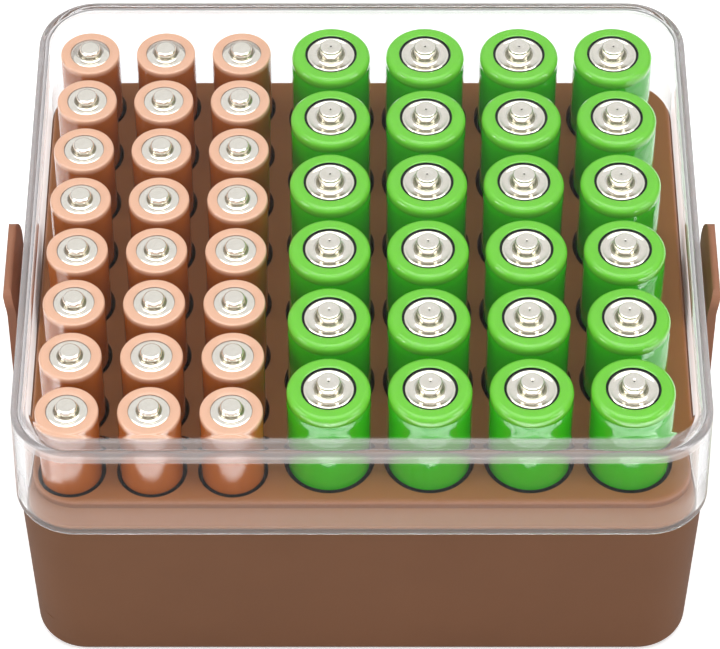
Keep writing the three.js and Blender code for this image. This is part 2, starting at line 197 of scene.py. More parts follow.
def bar_along_y(name, x, z, low_y, high_y, radius, sides=32):
    """A round bar that lies along Y."""
    mesh = bmesh.new()
    bmesh.ops.create_cone(
        mesh, cap_ends=True, segments=sides, radius1=radius, radius2=radius, depth=high_y - low_y
    )
    turn = Matrix.Rotation(math.pi / 2, 4, "X")
    bmesh.ops.transform(mesh, matrix=turn, verts=mesh.verts)
    bmesh.ops.translate(mesh, vec=Vector((x, (low_y + high_y) / 2, z)), verts=mesh.verts)
    return as_object(name, mesh)


def prism(name, outline, low, high, direction):
    """A flat outline pushed along X or Y: outline points are (y, z) along X, or (x, z) along Y."""
    mesh = bmesh.new()
    ends = []
    for depth in (low, high):
        if direction == "X":
            ends.append([mesh.verts.new((depth, u, v)) for u, v in outline])
        else:
            ends.append([mesh.verts.new((u, depth, v)) for u, v in outline])
    count = len(outline)
    for i in range(count):
        j = (i + 1) % count
        mesh.faces.new((ends[0][i], ends[0][j], ends[1][j], ends[1][i]))
    mesh.faces.new(ends[0][::-1])
    mesh.faces.new(ends[1])
    bmesh.ops.recalc_face_normals(mesh, faces=mesh.faces)
    return as_object(name, mesh)


def tub_ring(z, inset=0.0, corner=None):
    """The tub's outline at a height, drawn in by an inset."""
    lean = tub_draft * (1 - z / shoulder_z) + inset
    return rounded_ring(
        tub_half_x - lean, lean - tub_half_y, tub_half_y - lean, corner or tub_corner - lean, z
    )


tub_rings = [tub_ring(foot_height, foot_width + tub_foot_fillet)]
tub_rings.append(tub_ring(foot_edge, foot_width + tub_foot_fillet))
tub_rings.append(tub_ring(0.0, foot_width + tub_foot_fillet - foot_edge))
for c, s in arc(-90, 0):
    tub_rings.append(tub_ring(tub_foot_fillet * (1 + s), tub_foot_fillet * (1 - c)))
for c, s in arc(0, 90, lip_steps):
    tub_rings.append(tub_ring(shoulder_z - tub_lip_fillet * (1 - s), tub_lip_fillet * (1 - c)))
tub_rings.append(tub_ring(shoulder_z, tub_rim - tub_lip_fillet, tub_inner_corner))
tub_rings.append(tub_ring(shoulder_z - tub_lip_fillet, tub_rim, tub_inner_corner))
tub_rings.append(tub_ring(shoulder_z - tub_rim_depth, tub_rim, tub_inner_corner))
tub_rings.append(tub_ring(shoulder_z - tub_rim_depth - (tub_rim - tub_wall), tub_wall, tub_inner_corner))
for c, s in arc(0, -90):
    inset = tub_wall + tub_inner_fillet * (1 - c)
    height = tub_floor_z + tub_inner_fillet * (1 + s)
    tub_rings.append(tub_ring(height, inset, tub_inner_corner - tub_inner_fillet * (1 - c)))
tub = loft("tub", tub_rings)

step_block = loft(
    "step_block",
    [
        tub_ring(tub_floor_z - tub_wall / 2, tub_wall / 2, tub_inner_corner),
        tub_ring(tub_floor_z + small_step, tub_wall / 2, tub_inner_corner),
    ],
)
step_limit = box(
    "step_limit",
    (-tub_half_x, -tub_half_y, foot_height),
    (divider_x, tub_half_y, tub_floor_z + 2 * small_step),
)
combine(step_block, step_limit, "INTERSECT")
combine(tub, step_block, "UNION")

latch_half_y = 9.5 * MM
latch_axis_x = 58.977 * MM
latch_axis_z = 25.0 * MM
knuckle_radius = 1.9 * MM
bar_radius = 0.95 * MM
lug_gap = 0.4 * MM
lug_width = 2.4 * MM
lug_root = 3.2 * MM
lug_root_x = 56.0 * MM
lug_steps = 12
for side in (-1, 1):
    lug_outline = [(side * lug_root_x, latch_axis_z - lug_root)]
    for c, s in arc(-90, 90, lug_steps):
        lug_outline.append((side * (latch_axis_x + knuckle_radius * c), latch_axis_z + knuckle_radius * s))
    lug_outline.append((side * lug_root_x, latch_axis_z + lug_root))
    inner_y = latch_half_y + lug_gap
    outer_y = inner_y + lug_width
    for low_y, high_y in ((inner_y, outer_y), (-outer_y, -inner_y)):
        combine(tub, prism("lug", lug_outline, low_y, high_y, "Y"), "UNION")
    pin_end_y = inner_y + lug_gap
    pin = bar_along_y("pin", side * latch_axis_x, latch_axis_z, -pin_end_y, pin_end_y, bar_radius)
    combine(tub, pin, "UNION")
under_step = loft(
    "under_step",
    [
        tub_ring(-foot_height, foot_width + tub_foot_fillet),
        tub_ring(foot_height + small_step, foot_width + tub_foot_fillet),
    ],
)
step_limit = box(
    "step_limit",
    (-tub_half_x, -tub_half_y, 0.0),
    (divider_x - tub_floor, tub_half_y, foot_height + 2 * small_step),
)
combine(under_step, step_limit, "INTERSECT")
combine(tub, under_step, "DIFFERENCE")
smooth(tub)

node_gap = 220
cloud_scale = 70.0
cloud_detail = 3.0
mottle_share = 0.07
grain_detail = 4.0
grain_strength = 0.5
sheen_spread = 0.05


def link(tree, value, socket):
    """Feeds a socket from another socket, or sets it to a fixed value."""
    if isinstance(value, bpy.types.NodeSocket):
        tree.links.new(value, socket)
    else:
        socket.default_value = value


def node(tree, kind, **settings):
    """Adds a shader node beside the others, with its sockets and properties set by name."""
    made = tree.nodes.new(kind)
    made.location = (node_gap * len(tree.nodes), -node_gap)
    for key, value in settings.items():
        if key in made.inputs:
            made.inputs[key].default_value = value
        else:
            setattr(made, key, value)
    return made


def new_material(name):
    """A node material with a Principled shader: the material, its node tree and the shader."""
    material = bpy.data.materials.new(name)
    material.use_nodes = True
    tree = material.node_tree
    return material, tree, tree.nodes["Principled BSDF"]


def colour_sockets(sockets):
    """Those sockets of a Mix node that carry a colour."""
    return [socket for socket in sockets if socket.type == "RGBA"]


def shade_between(tree, low, high, factor):
    """A colour mixed between two, each a colour or a socket, by a factor socket."""
    mix = node(tree, "ShaderNodeMix", data_type="RGBA")
    for colour, socket in zip((low, high), colour_sockets(mix.inputs)):
        if not isinstance(colour, bpy.types.NodeSocket):
            colour = (*colour, 1)
        link(tree, colour, socket)
    tree.links.new(factor, mix.inputs["Factor"])
    return colour_sockets(mix.outputs)[0]


def ramp(tree, value, start, end, low=0.0, high=1.0, kind="SMOOTHSTEP"):
    """A value that runs from low to high while a socket runs from start to end."""
    made = node(tree, "ShaderNodeMapRange", interpolation_type=kind)
    for key, limit in (("From Min", start), ("From Max", end), ("To Min", low), ("To Max", high)):
        made.inputs[key].default_value = limit
    tree.links.new(value, made.inputs["Value"])
    return made.outputs["Result"]


def pattern(tree, place, **settings):
    """A cloudy pattern that is fixed to the piece."""
    made = node(tree, "ShaderNodeTexNoise", **settings)
    tree.links.new(place, made.inputs["Vector"])
    return made.outputs["Fac"]


def uneven_sheen(tree, shader, marks, low, high):
    """A roughness that changes from low to high with a pattern."""
    tree.links.new(ramp(tree, marks, 0.0, 1.0, low, high, "LINEAR"), shader.inputs["Roughness"])


def uneven_surface(tree, shader, marks, strength, depth):
    """A surface that rises and falls with a pattern."""
    bump = node(tree, "ShaderNodeBump", Strength=strength, Distance=depth)
    tree.links.new(marks, bump.inputs["Height"])
    tree.links.new(bump.outputs["Normal"], shader.inputs["Normal"])


def moulded_plastic(name, colour, roughness, grain_size, grain_depth):
    """Moulded plastic: a colour with faint clouding, and a fine eroded grain on its surface."""
    material, tree, shader = new_material(name)
    shader.inputs["Specular IOR Level"].default_value = plastic_shine
    place = node(tree, "ShaderNodeTexCoord").outputs["Object"]
    clouds = pattern(tree, place, Scale=cloud_scale, Detail=cloud_detail)
    dark = [c * (1 - mottle_share) for c in colour]
    pale = [c * (1 + mottle_share) for c in colour]
    tree.links.new(shade_between(tree, dark, pale, clouds), shader.inputs["Base Color"])
    grain = pattern(tree, place, Scale=1 / grain_size, Detail=grain_detail)
    uneven_sheen(tree, shader, grain, roughness - sheen_spread, roughness + sheen_spread)
    uneven_surface(tree, shader, grain, grain_strength, grain_depth)
    return material


tub_plastic = moulded_plastic(
    "tub_satin_brown", tub_brown, roughness=0.46, grain_size=0.35 * MM, grain_depth=0.03 * MM
)
tub.data.materials.append(tub_plastic)
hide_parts("base_tub")
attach(tub, "case")

# The tray: a separate brown moulding that drops into the tub. Its deck stands up from a flange with
# a shelf along the front, has one hole with a broken edge for every cell, and hangs a grid of ribs
# below that keeps the cells upright.
deck_half_x = 55.7 * MM
deck_front_y = -46.7 * MM
deck_back_y = 50.7 * MM
deck_corner = 8.5 * MM
deck_fillet = 0.8 * MM
deck_top_z = 36.8 * MM
deck_thickness = 1.6 * MM
flange_low_z = 34.4 * MM
flange_top_z = 35.2 * MM
flange_half_y = 50.7 * MM
collar_wall = 1.2 * MM
flange_edge = 0.2 * MM
hole_edge = 0.1 * MM
hole_edge_share = 0.3
hole_sides = 56
large_hole_radius = 7.65 * MM
small_hole_radius = 5.85 * MM
tray_sharp_degrees = 30
tray_brown = (0.305, 0.120, 0.041)
# The paler edge brown is a painted highlight.
painted_highlight_brown = (0.38, 0.17, 0.09)
edge_low_share = 0.7
edge_high_share = 0.4
edge_end_share = 0.1


def deck_ring(z, inset=0.0):
    """The deck's outline at a height, drawn in by an inset."""
    half_x = deck_half_x - inset
    return rounded_ring(half_x, deck_front_y + inset, deck_back_y - inset, deck_corner - inset, z)


def flange_ring(z, inset=0.0):
    """The flange's outline at a height, drawn in by an inset."""
    half_y = flange_half_y - inset
    return rounded_ring(deck_half_x - inset, -half_y, half_y, deck_corner - inset, z)


tray = loft(
    "tray",
    [
        flange_ring(flange_low_z, flange_edge),
        flange_ring(flange_low_z + flange_edge),
        flange_ring(flange_top_z - flange_edge),
        flange_ring(flange_top_z, flange_edge),
    ],
)
deck_rings = [deck_ring(flange_low_z, flange_edge), deck_ring(flange_low_z + flange_edge)]
for c, s in arc(0, 90):
    deck_rings.append(deck_ring(deck_top_z - deck_fillet * (1 - s), deck_fillet * (1 - c)))
combine(tray, loft("deck", deck_rings), "UNION")
hollow = loft(
    "hollow",
    [
        deck_ring(flange_low_z - tub_wall, collar_wall),
        deck_ring(deck_top_z - deck_thickness, collar_wall),
    ],
)
combine(tray, hollow, "DIFFERENCE")


def cell_nodes(kind):
    """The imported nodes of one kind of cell, each with its middle on the floor plan and its foot."""
    places = []
    for name in sorted(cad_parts):
        if name.startswith(kind):
            low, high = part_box(name)
            places.append((name, (low.x + high.x) / 2, (low.y + high.y) / 2, low.z))
    return places


large_cells = cell_nodes("large_cell")
small_cells = cell_nodes("small_cell")
cutters = bmesh.new()
for cells, radius in ((large_cells, large_hole_radius), (small_cells, small_hole_radius)):
    for _, x, y, _ in cells:
        profile = (
            (radius, flange_low_z - tub_wall),
            (radius, deck_top_z - hole_edge),
            (radius + hole_edge * hole_edge_share, deck_top_z - hole_edge * hole_edge_share),
            (radius + hole_edge, deck_top_z),
            (radius + hole_edge, deck_top_z + deck_thickness),
        )
        rows = []
        for r, z in profile:
            row = []
            for i in range(hole_sides):
                angle = 2 * math.pi * i / hole_sides
                row.append(cutters.verts.new((x + r * math.cos(angle), y + r * math.sin(angle), z)))
            rows.append(row)
        for low, high in zip(rows, rows[1:]):
            for i in range(hole_sides):
                j = (i + 1) % hole_sides
                cutters.faces.new((low[i], low[j], high[j], high[i]))
        cutters.faces.new(rows[0][::-1])
        cutters.faces.new(rows[-1])
combine(tray, as_object("cutters", cutters), "DIFFERENCE")
smooth(tray, tray_sharp_degrees)
tray_plastic = moulded_plastic(
    "tray_satin_brown", tray_brown, roughness=0.5, grain_size=0.3 * MM, grain_depth=0.008 * MM
)


def reckon(tree, operation, first, second=0.0):
    """A product, a sum or the like of two values, each a number or a socket."""
    made = node(tree, "ShaderNodeMath", operation=operation)
    link(tree, first, made.inputs[0])
    link(tree, second, made.inputs[1])
    return made.outputs["Value"]


def part_of(tree, place, axis):
    """The X, Y or Z of a place or a direction."""
    split = node(tree, "ShaderNodeSeparateXYZ")
    tree.links.new(place, split.inputs["Vector"])
    return split.outputs[axis]


# A paler brown is painted along the deck's round edge as a highlight.
tree = tray_plastic.node_tree
shader = tree.nodes["Principled BSDF"]
height = part_of(tree, tree.nodes["Texture Coordinate"].outputs["Object"], "Z")
edge_full_z = deck_top_z - deck_fillet * edge_low_share
edge_fade_z = deck_top_z - deck_fillet * edge_high_share
edge_end_z = deck_top_z - deck_fillet * edge_end_share
rise = ramp(tree, height, deck_top_z - deck_fillet, edge_full_z)
fall = ramp(tree, height, edge_end_z, edge_fade_z)
edge = reckon(tree, "MULTIPLY", rise, fall)
clouded = shader.inputs["Base Color"].links[0].from_socket
tree.links.new(shade_between(tree, clouded, painted_highlight_brown, edge), shader.inputs["Base Color"])
tray.data.materials.append(tray_plastic)
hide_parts("cell_tray")
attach(tray, "case")

# The tray's ribs: crossed walls moulded below the deck, between the rows and columns of cells, so
# that each cell stands upright. They end just short of the tub's walls.
rib_low_z = 12.0 * MM
row_rib = 0.6 * MM
column_rib = 1.2 * MM
rib_clearance = 0.35 * MM
place_digits = 6
rib_top_z = deck_top_z - deck_thickness / 2


def middles(cells, axis):
    """The places halfway between neighbouring rows or columns of cells."""
    steps = sorted({round(cell[axis], place_digits) for cell in cells})
    return [(a + b) / 2 for a, b in zip(steps, steps[1:])]


ribs = None
for cells, low_x, high_x in (
    (small_cells, -tub_half_x, divider_x),
    (large_cells, divider_x, tub_half_x),
):
    for y in middles(cells, 2):
        rib = box("rib", (low_x, y - row_rib / 2, rib_low_z), (high_x, y + row_rib / 2, rib_top_z))
        if ribs is None:
            ribs = rib
        else:
            combine(ribs, rib, "UNION")
for x in middles(small_cells, 1) + [divider_x] + middles(large_cells, 1):
    rib = box(
        "rib",
        (x - column_rib / 2, -tub_half_y, rib_low_z),
        (x + column_rib / 2, tub_half_y, rib_top_z),
    )
    combine(ribs, rib, "UNION")
ribs.name = "tray_ribs"
rib_room = loft(
    "rib_room",
    [
        tub_ring(rib_low_z, tub_wall + rib_clearance, tub_inner_corner),
        tub_ring(shoulder_z - tub_rim_depth - tub_rim, tub_wall + rib_clearance, tub_inner_corner),
        tub_ring(shoulder_z - tub_rim_depth - tub_wall, tub_rim + rib_clearance, tub_inner_corner),
        tub_ring(flange_low_z - rib_clearance, tub_rim + rib_clearance, tub_inner_corner),
        deck_ring(flange_low_z, collar_wall),
        deck_ring(deck_top_z - deck_thickness, collar_wall),
    ],
)
combine(ribs, rib_room, "INTERSECT")
smooth(ribs)
ribs.data.materials.append(tray_plastic)
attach(ribs, "case")

# The large cells: steel cans in a green shrink jacket that rolls over the shoulder. A dark gasket
# ring shows round the bright nickel-plated end, whose nub is pressed up from it with a tiny dimple.
jacket_green = (0.150, 0.600, 0.030)
# The lower green down the cell's side is painted shade.
jacket_green_painted_shade = (0.028, 0.460, 0.001)
nickel = (0.84, 0.82, 0.77)
# The darker nickel round the nub is painted shade.
nickel_painted_shade_colour = (0.40, 0.38, 0.30)
gasket_and_shade_black = (0.012, 0.012, 0.014)
lathe_sides = 64
lathe_sharp_degrees = 50
# Below the deck the film is painted near black as shadow.
shadow_reach = 0.12 * MM
shadow_share = 0.02
ripple_scale = 260.0
ripple_detail = 2.0
ripple_strength = 0.25
ripple_depth = 0.04 * MM
film_shinier = 0.04
film_duller = 0.06
mark_scale = 650.0
mark_detail = 6.0
mark_breakup = 0.7
dull_shares = (0.86, 0.82, 0.75)
polish_low = 0.7
polish_high = 1.4
rubber_scale = 2500.0
rubber_detail = 3.0
rubber_dark = 0.8
rubber_pale = 1.3
rubber_shine = 0.1
on_axis = 1e-7


def lathe(name, profile, materials):
    """Turns a profile of (radius, height, material index of the band above) about Z."""
    mesh = bmesh.new()
    rows = []
    for radius, z, _ in profile:
        if radius < on_axis:
            rows.append([mesh.verts.new((0, 0, z))])
        else:
            angles = [2 * math.pi * i / lathe_sides for i in range(lathe_sides)]
            rows.append([mesh.verts.new((radius * math.cos(a), radius * math.sin(a), z)) for a in angles])
    for (low, high), (_, _, band) in zip(zip(rows, rows[1:]), profile):
        for i in range(lathe_sides):
            j = (i + 1) % lathe_sides
            corners = [low[i % len(low)], low[j % len(low)], high[j % len(high)], high[i % len(high)]]
            corners = list(dict.fromkeys(corners))
            face = mesh.faces.new(corners)
            face.material_index = band
            face.smooth = True
    bmesh.ops.recalc_face_normals(mesh, faces=mesh.faces)
    data = bpy.data.meshes.new(name)
    mesh.to_mesh(data)
    mesh.free()
    for material in materials:
        data.materials.append(material)
    data.set_sharp_from_angle(angle=math.radians(lathe_sharp_degrees))
    return data


def turned(points, band):
    """Gives each point of a stretch of profile, in millimetres, its material."""
    return [(r * MM, z * MM, band) for r, z in points]


def rounded(centre_r, centre_z, radius, start_degrees, end_degrees, steps=6):
    """The points of a rounded stretch of profile, in millimetres."""
    stretch = arc(start_degrees, end_degrees, steps)
    return [(centre_r + radius * c, centre_z + radius * s) for c, s in stretch]


def film_jacket(name, high, low, roughness, shine, band_z, stand_z):
    """Coloured shrink film: its colour deepens down the side as painted shade, and a painted shadow makes it
    near black below the deck.
    """
    material, tree, shader = new_material(name)
    place = node(tree, "ShaderNodeTexCoord").outputs["Object"]
    height = part_of(tree, place, "Z")
    tint = shade_between(tree, low, high, ramp(tree, height, *band_z))
    hole_z = deck_top_z - stand_z
    clear_of_hole = ramp(tree, height, hole_z - shadow_reach, hole_z + shadow_reach, kind="LINEAR")
    shadow = [c * shadow_share for c in low]
    tree.links.new(shade_between(tree, shadow, tint, clear_of_hole), shader.inputs["Base Color"])
    ripples = pattern(tree, place, Scale=ripple_scale, Detail=ripple_detail)
    uneven_surface(tree, shader, ripples, ripple_strength, ripple_depth)
    uneven_sheen(tree, shader, ripples, roughness - film_shinier, roughness + film_duller)
    shader.inputs["Specular IOR Level"].default_value = shine
    return material


def plated_metal(name, colour, roughness):
    """Nickel plate: bright, with faint stains and handling marks in its colour and its polish."""
    material, tree, shader = new_material(name)
    place = node(tree, "ShaderNodeTexCoord").outputs["Object"]
    marks = pattern(tree, place, Scale=mark_scale, Detail=mark_detail, Roughness=mark_breakup)
    dull = [c * share for c, share in zip(colour, dull_shares)]
    tree.links.new(shade_between(tree, dull, colour, marks), shader.inputs["Base Color"])
    uneven_sheen(tree, shader, marks, roughness * polish_low, roughness * polish_high)
    shader.inputs["Metallic"].default_value = 1.0
    return material


def soft_rubber(name, colour, roughness):
    """A dark gasket, dull and slightly uneven."""
    material, tree, shader = new_material(name)
    place = node(tree, "ShaderNodeTexCoord").outputs["Object"]
    grain = pattern(tree, place, Scale=rubber_scale, Detail=rubber_detail)
    dark = [c * rubber_dark for c in colour]
    pale = [c * rubber_pale for c in colour]
    tree.links.new(shade_between(tree, dark, pale, grain), shader.inputs["Base Color"])
    shader.inputs["Roughness"].default_value = roughness
    shader.inputs["Specular IOR Level"].default_value = rubber_shine
    return material


bare_nickel = plated_metal("nickel_plate", nickel, roughness=0.08)
nickel_painted_shade = plated_metal("nickel_with_painted_shade", nickel_painted_shade_colour, roughness=0.16)
gasket = soft_rubber("gasket_and_shade_black", gasket_and_shade_black, roughness=0.5)
_, _, _, large_foot_z = large_cells[0]
green_film = film_jacket(
    "green_shrink_film",
    jacket_green,
    jacket_green_painted_shade,
    roughness=0.08,
    shine=0.5,
    band_z=(46.2 * MM, 47.6 * MM),
    stand_z=large_foot_z,
)
JACKET, GASKET_AND_SHADE, METAL, PAINTED_SHADE = 0, 1, 2, 3
large_radius = 7.0
large_top = 48.65
large_length = 50.5
large_profile = turned([(0, 0.25), (4.3, 0.25), (4.6, 0.0)], METAL)
large_profile += turned([(5.4, 0.0), (5.7, 0.3)], JACKET)
large_profile += turned(rounded(6.4, 0.6, 0.6, -90, 0, 4), JACKET)
large_profile += turned([(large_radius, 0.9), (large_radius, 45.3)], JACKET)
large_profile += turned([(6.97, 45.8), (6.83, 46.35), (6.80, 46.5), (6.83, 46.65), (6.94, 47.0)], JACKET)
large_profile += turned(rounded(5.95, 47.65, 1.02, 0, 90, 8), JACKET)
large_profile += turned([(5.75, large_top - 0.003), (5.2, large_top - 0.015)], JACKET)
large_profile += turned([(4.7, large_top - 0.04)], JACKET)
large_profile += turned([(4.58, large_top - 0.10), (4.55, large_top - 0.36)], GASKET_AND_SHADE)
large_profile += turned([(4.26, large_top - 0.39)], GASKET_AND_SHADE)
large_profile += turned([(4.23, large_top - 0.30), (4.18, large_top - 0.17)], METAL)
large_profile += turned([(4.02, large_top - 0.11), (3.82, large_top - 0.13), (3.7, large_top - 0.2)], METAL)
large_profile += turned([(3.0, large_top - 0.24), (2.78, large_top - 0.24), (2.66, large_top - 0.17)], METAL)
# A darker nickel is painted as shade round the nub's foot, and on the lower part of its top edge.
large_profile += turned([(2.5, large_top - 0.12), (2.3, large_top - 0.12), (2.13, large_top + 0.0)], PAINTED_SHADE)
large_profile += turned([(2.04, large_top + 0.25)], PAINTED_SHADE)
large_profile += turned([(2.0, large_top + 0.6)], METAL)
large_profile += turned([(1.97, large_length - 0.36)], PAINTED_SHADE)
large_profile += turned(rounded(1.71, large_length - 0.26, 0.26, 0, 30, 2), PAINTED_SHADE)
large_profile += turned(rounded(1.71, large_length - 0.26, 0.26, 45, 90, 3), METAL)
large_profile += turned([(1.62, large_length), (1.4, large_length), (0.2, large_length)], METAL)
# The dimple in the nub's top takes the gasket's black as painted shade.
large_profile += turned([(0.17, large_length - 0.01)], GASKET_AND_SHADE)
large_profile += turned([(0.15, large_length - 0.25), (0, large_length - 0.27)], GASKET_AND_SHADE)
large_mesh = lathe("large_cell", large_profile, (green_film, gasket, bare_nickel, nickel_painted_shade))
for name, x, y, low_z in large_cells:
    cell = bpy.data.objects.new("dressed_" + name, large_mesh)
    cell.location = (x, y, low_z)
    scene.collection.objects.link(cell)
    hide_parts(name)
    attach(cell, "case")

# The small cells: the same kind of can, shrink-wrapped in copper-coloured film, with a flat end and
# a crisp edge, a wider bright washer, and a pressed nub with a rounded top.
copper_high = (0.82, 0.468, 0.310)
# The lower copper down the cell's side is painted shade.
copper_painted_shade = (0.38, 0.095, 0.010)
_, _, _, small_foot_z = small_cells[0]
copper_film = film_jacket(
    "copper_shrink_film",
    copper_high,
    copper_painted_shade,
    roughness=0.18,
    shine=0.8,
    band_z=(41.8 * MM, 43.1 * MM),
    stand_z=small_foot_z,
)
small_radius = 5.25
small_top = 43.2
small_length = 44.5
small_profile = turned([(0, 0.2), (3.2, 0.2), (3.4, 0.0)], METAL)
small_profile += turned([(4.2, 0.0)], JACKET)
small_profile += turned(rounded(4.85, 0.4, 0.4, -90, 0, 4), JACKET)
small_profile += turned([(small_radius, 0.8), (small_radius, 42.8)], JACKET)
small_profile += turned(rounded(4.93, 42.9, 0.3, 0, 90, 5), JACKET)
small_profile += turned([(4.85, small_top), (4.5, small_top), (3.6, small_top)], JACKET)
small_profile += turned([(3.52, small_top - 0.03)], JACKET)
small_profile += turned([(3.47, small_top - 0.1)], GASKET_AND_SHADE)
small_profile += turned([(3.43, small_top - 0.14)], METAL)
small_profile += turned([(3.34, small_top - 0.1), (3.0, small_top - 0.06), (2.55, small_top - 0.12)], METAL)
small_profile += turned([(2.4, small_top - 0.12)], METAL)
# A darker nickel is painted as shade round the nub's foot.
small_profile += turned([(2.15, small_top - 0.02), (1.95, small_top + 0.12)], PAINTED_SHADE)
small_profile += turned([(1.86, small_top + 0.35)], PAINTED_SHADE)
small_profile += turned([(1.85, small_top + 0.5), (1.84, small_length - 0.5)], METAL)
small_profile += turned(rounded(1.4, small_length - 0.44, 0.44, 0, 90, 6), METAL)
small_profile += turned([(1.3, small_length), (0.6, small_length), (0, small_length)], METAL)
small_mesh = lathe("small_cell", small_profile, (copper_film, gasket, bare_nickel, nickel_painted_shade))
for name, x, y, low_z in small_cells:
    cell = bpy.data.objects.new("dressed_" + name, small_mesh)
    cell.location = (x, y, low_z)
    scene.collection.objects.link(cell)
    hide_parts(name)
    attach(cell, "case")

# The latches: a springy brown moulding on each side that snaps on the tub's bar, lies up the side of
# the lid, and ends in a flared finger edge. A bead across its inside catches above the lid's rib.
latch_inner_x = 59.3 * MM
latch_thickness = 1.5 * MM
latch_bead_x = 58.8 * MM
latch_bead_low_z = 36.8 * MM
latch_bead_high_z = 38.4 * MM
latch_bead = 0.5 * MM
latch_flare = 0.6 * MM
latch_flare_z = 40.2 * MM
latch_top_z = 45.2 * MM
latch_corner = 3.0 * MM
latch_edge = 0.3 * MM
bore_radius = 1.2 * MM
snap_slot = 1.5 * MM
snap_tilt_degrees = 35
flare_steps = 8
tip_steps = 12
plate_steps = 10
knuckle_sides = 48
plate_inner_room = 3.0 * MM
plate_outer_room = 2.0 * MM
latch_edge_steps = 3
latch_edge_degrees = 40
latch_brown = (0.33, 0.150, 0.092)


def bend(start, pull, end, steps):
    """Points along a curve from start to end that is drawn towards pull, without its start."""
    points = []
    for step in range(1, steps + 1):
        t = step / steps
        u = 1 - t
        points.append(tuple(u * u * a + 2 * u * t * b + t * t * c for a, b, c in zip(start, pull, end)))
    return points


latch_outer_x = latch_inner_x + latch_thickness
tip_radius = latch_thickness / 2
tip_x = latch_inner_x + latch_flare + tip_radius
tip_z = latch_top_z - tip_radius
bend_z = (latch_flare_z + tip_z) / 2
flare_foot = (latch_outer_x, latch_flare_z)
flare_back = (latch_inner_x, latch_flare_z)
arm = [(latch_inner_x, latch_axis_z), (latch_outer_x, latch_axis_z), flare_foot]
arm += bend(flare_foot, (latch_outer_x, bend_z), (tip_x + tip_radius, tip_z), flare_steps)
arm += [(tip_x + tip_radius * c, tip_z + tip_radius * s) for c, s in list(arc(0, 180, tip_steps))[1:]]
arm += bend((tip_x - tip_radius, tip_z), (latch_inner_x, bend_z), flare_back, flare_steps)
arm += [(latch_inner_x, latch_bead_high_z), (latch_bead_x, latch_bead_high_z - latch_bead)]
arm += [(latch_bead_x, latch_bead_low_z + latch_bead), (latch_inner_x, latch_bead_low_z)]
plate = [(latch_half_y, latch_axis_z - knuckle_radius)]
for centre_y, start in ((latch_half_y - latch_corner, 0), (latch_corner - latch_half_y, 90)):
    for c, s in arc(start, start + 90, plate_steps):
        plate.append((centre_y + latch_corner * c, latch_top_z - latch_corner + latch_corner * s))
plate.append((-latch_half_y, latch_axis_z - knuckle_radius))
latch_plastic = moulded_plastic(
    "latch_satin_brown", latch_brown, roughness=0.42, grain_size=0.35 * MM, grain_depth=0.03 * MM
)
for side, body in ((1, "latch_right"), (-1, "latch_left")):
    latch = prism("dressed_" + body, arm, -latch_half_y, latch_half_y, "Y")
    axis = (latch_axis_x, latch_axis_z)
    knuckle = bar_along_y("knuckle", *axis, -latch_half_y, latch_half_y, knuckle_radius, knuckle_sides)
    combine(latch, knuckle, "UNION")
    reach = latch_half_y + MM
    combine(latch, bar_along_y("bore", *axis, -reach, reach, bore_radius), "DIFFERENCE")
    slot_cut = box("slot_cut", (-knuckle_radius - MM, -reach, -snap_slot / 2), (0, reach, snap_slot / 2))
    tilt = Matrix.Rotation(math.radians(-snap_tilt_degrees), 4, "Y")
    slot_cut.data.transform(Matrix.Translation((latch_axis_x, 0, latch_axis_z)) @ tilt)
    combine(latch, slot_cut, "DIFFERENCE")
    plate_low_x = latch_axis_x - plate_inner_room
    plate_high_x = latch_outer_x + plate_outer_room
    combine(latch, prism("plate", plate, plate_low_x, plate_high_x, "X"), "INTERSECT")
    soften = latch.modifiers.new("soften", "BEVEL")
    soften.width = latch_edge
    soften.segments = latch_edge_steps
    soften.limit_method = "ANGLE"
    soften.angle_limit = math.radians(latch_edge_degrees)
    apply_modifiers(latch)
    if side < 0:
        latch.data.transform(Matrix.Scale(-1, 4, (1, 0, 0)))
        latch.data.flip_normals()
    smooth(latch)
    latch.data.materials.append(latch_plastic)
    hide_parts(body)
    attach(latch, body)

# The lid: one clear moulding in polystyrene, a thin shell with a broad round edge at the top that
# drops over the tray and rests on the tub's rim. A low rib on each side is for the latch.
lid_rim_z = 34.4 * MM
lid_top_z = 57.0 * MM
lid_inner_top_z = 55.5 * MM
lid_half_x = 57.7 * MM
lid_half_y = 52.7 * MM
lid_corner = 10.5 * MM
lid_wall = 1.6 * MM
lid_draft = 0.35 * MM
lid_fillet = 2.65 * MM
lid_inner_fillet = 1.2 * MM
lid_rim_edge = 0.6 * MM
catch_low_z = 34.9 * MM
catch_high_z = 36.5 * MM
catch_x = 58.5 * MM
catch_half_y = 7.5 * MM
catch_slope = (catch_high_z - catch_low_z) / 3
lid_inner_steps = 16
lid_rim_steps = 6
lid_fillet_steps = 12
lid_sharp_degrees = 40
clear_tint = (0.985, 0.988, 0.990)
# The grey of the round edge is painted shade.
painted_edge_shade_grey = (0.36, 0.36, 0.375)
clear_smoke = (0.62, 0.63, 0.66)
clear_smoke_density = 18.0
clear_ior = 1.42
clear_gloss = (0.02, 0.02, 0.02)
edge_gloss = (1, 1, 1)
clear_roughness = 0.04
clear_patch_scale = 120.0
clear_patch_detail = 3.0
light_let_through = (0.95, 0.95, 0.95, 1)
